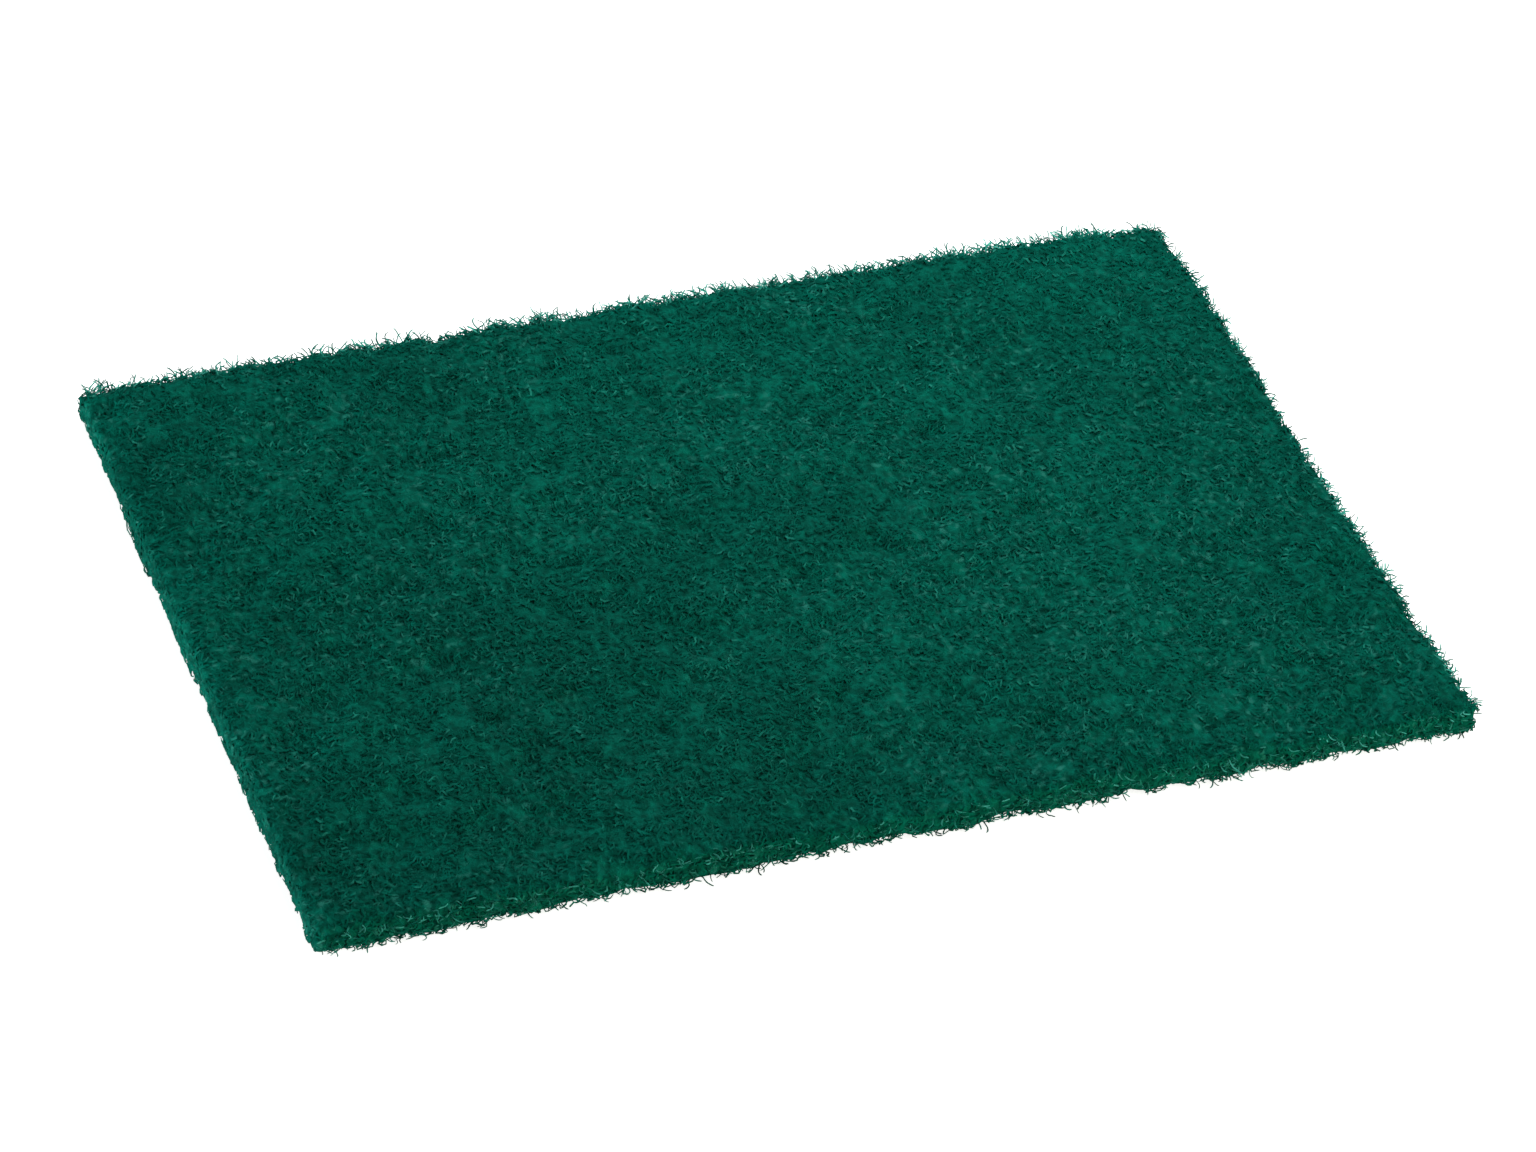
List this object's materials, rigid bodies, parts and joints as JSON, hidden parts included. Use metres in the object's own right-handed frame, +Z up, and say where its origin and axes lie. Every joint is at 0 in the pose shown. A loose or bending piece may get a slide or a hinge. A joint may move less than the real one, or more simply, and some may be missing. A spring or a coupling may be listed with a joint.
{
  "type": "nylon scouring pad",
  "caption": "Flat rectangular scouring pad of thick open non-woven web, with a matted fibre relief on both faces and rough cut edges.",
  "frame": {"origin": "under the middle of the pad, on the surface that it lies on", "axes": "+X along the pad's length, +Y across it from the front long side to the back one, +Z up through its thickness"},
  "size_m": [0.2335, 0.1546, 0.008],
  "materials": {
    "nylon_web": "matt matted nylon fibre in a coarse resin, with small glossy glints"
  },
  "bodies": {
    "root": {"scouring_pad": "nylon_web"}
  },
  "joints": []
}
